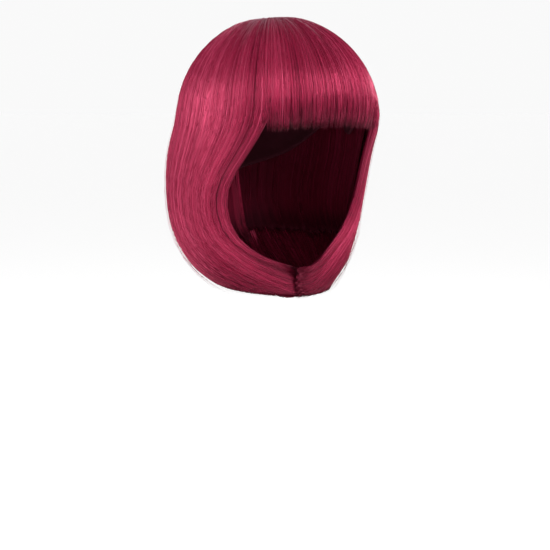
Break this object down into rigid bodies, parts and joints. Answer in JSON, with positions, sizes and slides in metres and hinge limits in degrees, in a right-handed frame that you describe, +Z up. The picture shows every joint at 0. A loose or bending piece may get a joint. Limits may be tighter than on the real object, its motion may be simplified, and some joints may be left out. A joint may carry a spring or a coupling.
{
  "type": "bob wig",
  "caption": "Straight chin-length bob wig with a full fringe, side hair curving in under the chin, and an open net cap that a head goes into.",
  "frame": {"origin": "inside of the cap's crown, where the top of the head touches it", "axes": "+Z up as worn, -Y the way the face looks, -X the wearer's right"},
  "size_m": [0.1922, 0.2294, 0.2706],
  "materials": {
    "hair": "glossy straight synthetic hair, wine red",
    "hair_inner": "shaded straight synthetic hair, dark maroon",
    "net": "matt elastic net",
    "patch": "matt pale skin-coloured net"
  },
  "bodies": {
    "root": {"cap": "net", "crown_patch": "patch", "fringe": "hair", "side_left": "hair", "side_right": "hair", "back": "hair", "under_left": "hair_inner", "under_right": "hair_inner", "under_back": "hair_inner"}
  },
  "joints": []
}
